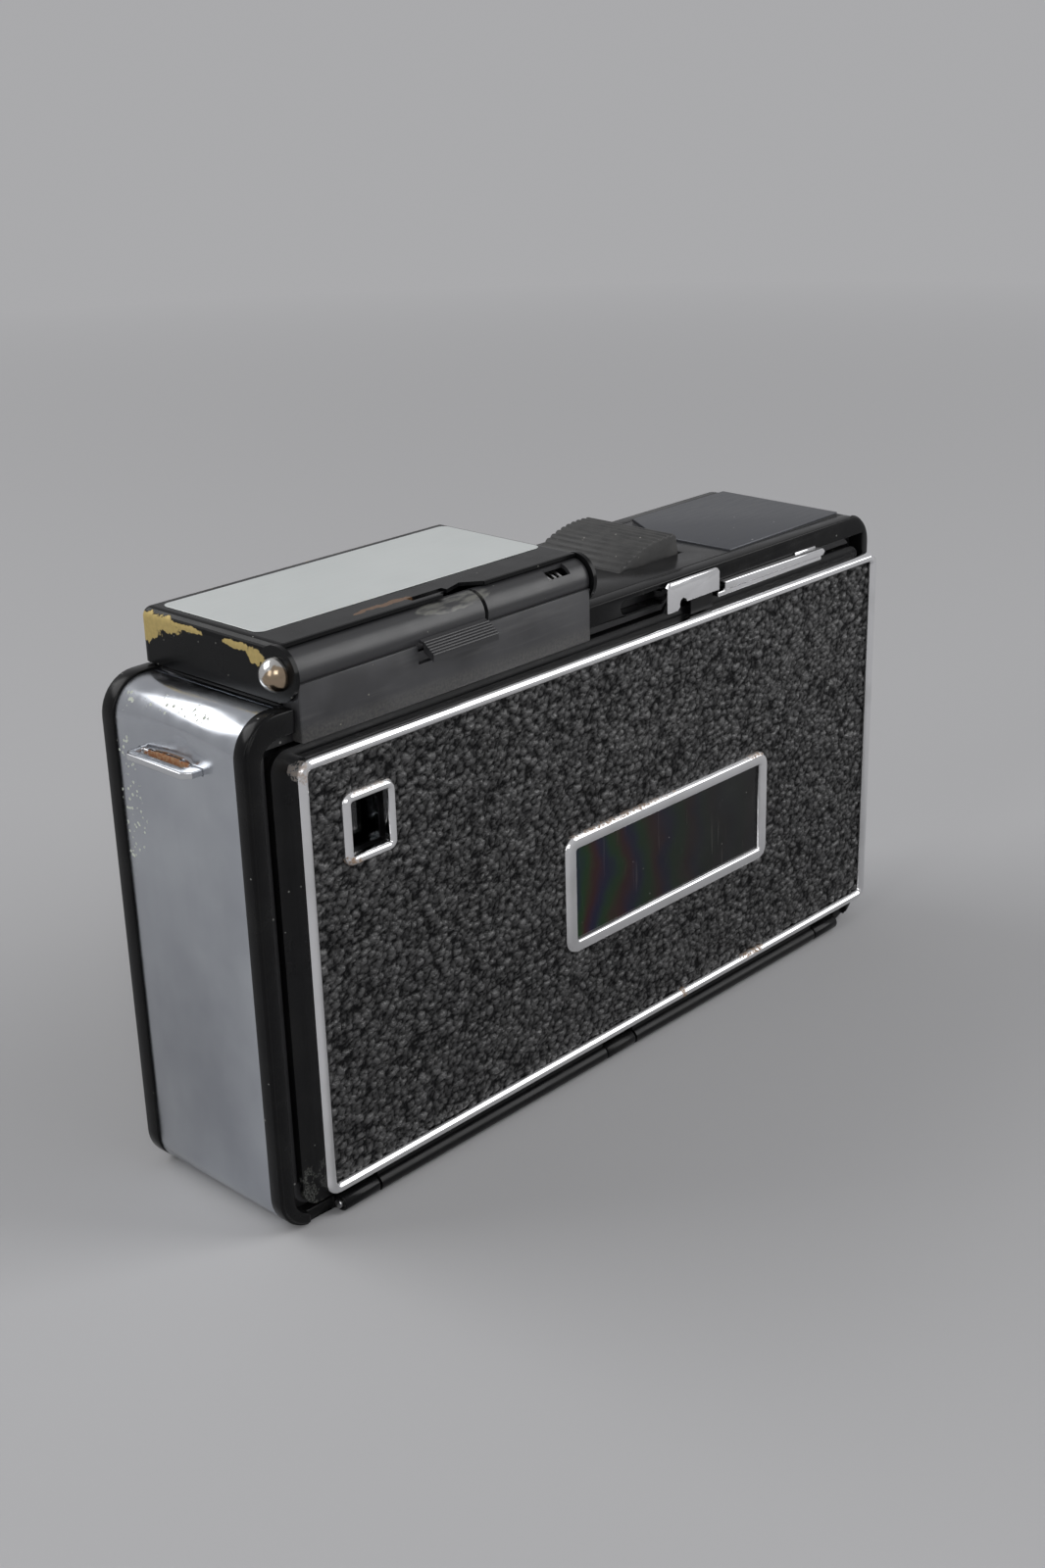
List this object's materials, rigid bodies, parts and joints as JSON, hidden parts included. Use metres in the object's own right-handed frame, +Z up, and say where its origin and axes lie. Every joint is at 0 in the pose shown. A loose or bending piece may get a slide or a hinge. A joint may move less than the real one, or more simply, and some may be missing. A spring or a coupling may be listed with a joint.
{
  "type": "cartridge film camera",
  "caption": "Compact viewfinder film camera for drop-in cartridges, with a hinged back door, a flash that folds into its top, a wedge shutter key and a base advance lever.",
  "frame": {"origin": "centre of the flat base, midway between the body's two ends and between its rear and front rims", "axes": "+X to the right seen from the rear, +Y forward to the lens, +Z up; the back door faces -Y"},
  "size_m": [0.1243, 0.0449, 0.0745],
  "materials": {
    "black_enamel": "gloss",
    "black_crackle": "satin",
    "chrome_trim": "polished",
    "chrome_band": "brushed",
    "satin_plate": "satin",
    "dark_inlay": "satin",
    "leatherette": "pebbled",
    "black_moulding": "matt",
    "key_plastic": "matt",
    "steel": "satin",
    "brass": "satin",
    "lens_glass": "clear",
    "window_glass": "tinted",
    "felt": "matt",
    "reflector": "polished",
    "battery_case": "satin",
    "gear_plastic": "gloss"
  },
  "bodies": {
    "camera_body": {"left_housing": "black_moulding", "film_chamber": "black_moulding", "chamber_floor": "black_moulding", "top_deck": "black_moulding", "front_rim": "black_enamel", "rear_rim": "black_enamel", "left_band": "chrome_band", "base_plate": "chrome_band", "right_band": "chrome_band", "strap_lug": "chrome_trim", "top_cover": "black_enamel", "top_inlay": "dark_inlay", "front_panel": "black_moulding", "front_leatherette": "leatherette", "lens_barrel": "black_moulding", "lens_front_ring": "chrome_trim", "front_lens": "lens_glass", "rear_lens": "lens_glass", "ring_retainer": "chrome_trim", "shutter_plate": "black_crackle", "blade_pivot": "brass", "film_gate": "black_crackle", "gate_screws": "steel", "finder_frame": "chrome_trim", "finder_lens": "lens_glass", "eyepiece_lens": "lens_glass", "tripod_bush": "brass", "base_screws": "steel", "lever_screw": "steel", "flash_pan": "black_crackle", "flash_hinge_pin": "steel", "spring_sleeve": "black_crackle", "lid_spring": "steel", "flash_battery": "battery_case", "battery_contacts": "brass", "key_pivot_pin": "steel", "door_hinge_pin": "steel", "door_leaf": "chrome_trim"},
    "flash_lid": {"lid_shell": "black_enamel", "lid_plate": "satin_plate", "reflector": "reflector", "bulb_socket": "black_moulding", "bulb_contacts": "brass"},
    "bulb_ejector": {"ejector_sleeve": "black_crackle"},
    "shutter_key": {"shutter_key": "key_plastic"},
    "release_rod": {"release_rod": "gear_plastic"},
    "shutter_blade": {"shutter_blade": "steel"},
    "setting_ring": {"setting_ring": "satin_plate"},
    "film_feeler": {"film_feeler": "steel"},
    "advance_lever": {"advance_lever": "chrome_trim"},
    "drive_fork": {"drive_fork": "gear_plastic"},
    "door_latch": {"door_latch": "chrome_trim"},
    "back_door": {"door_panel": "black_crackle", "door_trim": "chrome_trim", "door_leatherette": "leatherette", "film_window_frame": "chrome_trim", "film_window_glass": "window_glass", "eyepiece_frame": "chrome_trim", "window_seal": "felt", "cartridge_spring": "steel"}
  },
  "joints": [
    {"name": "door_hinge", "type": "hinge", "parent": "camera_body", "child": "back_door", "pos_m": [0, -0.0142, 0.00125], "axis": [1, 0, 0], "range_deg": [0, 90]},
    {"name": "latch_slide", "type": "slide", "parent": "camera_body", "child": "door_latch", "axis": [-1, 0, 0], "range_m": [0, 0.0065], "stiffness_N_per_m": 150, "springref_m": -0.003},
    {"name": "lid_hinge", "type": "hinge", "parent": "camera_body", "child": "flash_lid", "pos_m": [0, -0.0115, 0.0708], "axis": [1, 0, 0], "range_deg": [0, 90]},
    {"name": "ejector_turn", "type": "hinge", "parent": "camera_body", "child": "bulb_ejector", "pos_m": [0, -0.0115, 0.0708], "axis": [1, 0, 0], "range_deg": [0, 12], "stiffness_Nm_per_rad": 0.02, "springref_deg": -17.19},
    {"name": "key_press", "type": "hinge", "parent": "camera_body", "child": "shutter_key", "pos_m": [0.0124, 0, 0.0659], "axis": [0, 1, 0], "range_deg": [0, 11], "stiffness_Nm_per_rad": 0.05, "springref_deg": -14.32},
    {"name": "rod_slide", "type": "slide", "parent": "camera_body", "child": "release_rod", "axis": [0, 0, -1], "range_m": [0, 0.0022]},
    {"name": "blade_swing", "type": "hinge", "parent": "camera_body", "child": "shutter_blade", "pos_m": [0.019, 0, 0.0376], "axis": [0, 1, 0], "range_deg": [0, 46]},
    {"name": "ring_turn", "type": "hinge", "parent": "camera_body", "child": "setting_ring", "pos_m": [0.0096, 0, 0.0282], "axis": [0, 1, 0], "range_deg": [0, 60]},
    {"name": "feeler_slide", "type": "slide", "parent": "camera_body", "child": "film_feeler", "axis": [0, 1, 0], "range_m": [0, 0.0012], "stiffness_N_per_m": 60, "springref_m": -0.0012},
    {"name": "lever_swing", "type": "hinge", "parent": "camera_body", "child": "advance_lever", "pos_m": [0.03585, -0.0029, 0], "axis": [0, 0, 1], "range_deg": [0, 70], "stiffness_Nm_per_rad": 0.01, "springref_deg": -22.92},
    {"name": "fork_turn", "type": "hinge", "parent": "camera_body", "child": "drive_fork", "pos_m": [0.03585, -0.0029, 0], "axis": [0, 0, 1], "range_deg": [0, 70]}
  ],
  "couplings": [
    {"joint": "rod_slide", "follows": "key_press", "m_per_rad": 0.0093},
    {"joint": "blade_swing", "follows": "key_press", "ratio": 4},
    {"joint": "fork_turn", "follows": "lever_swing", "ratio": 1}
  ]
}
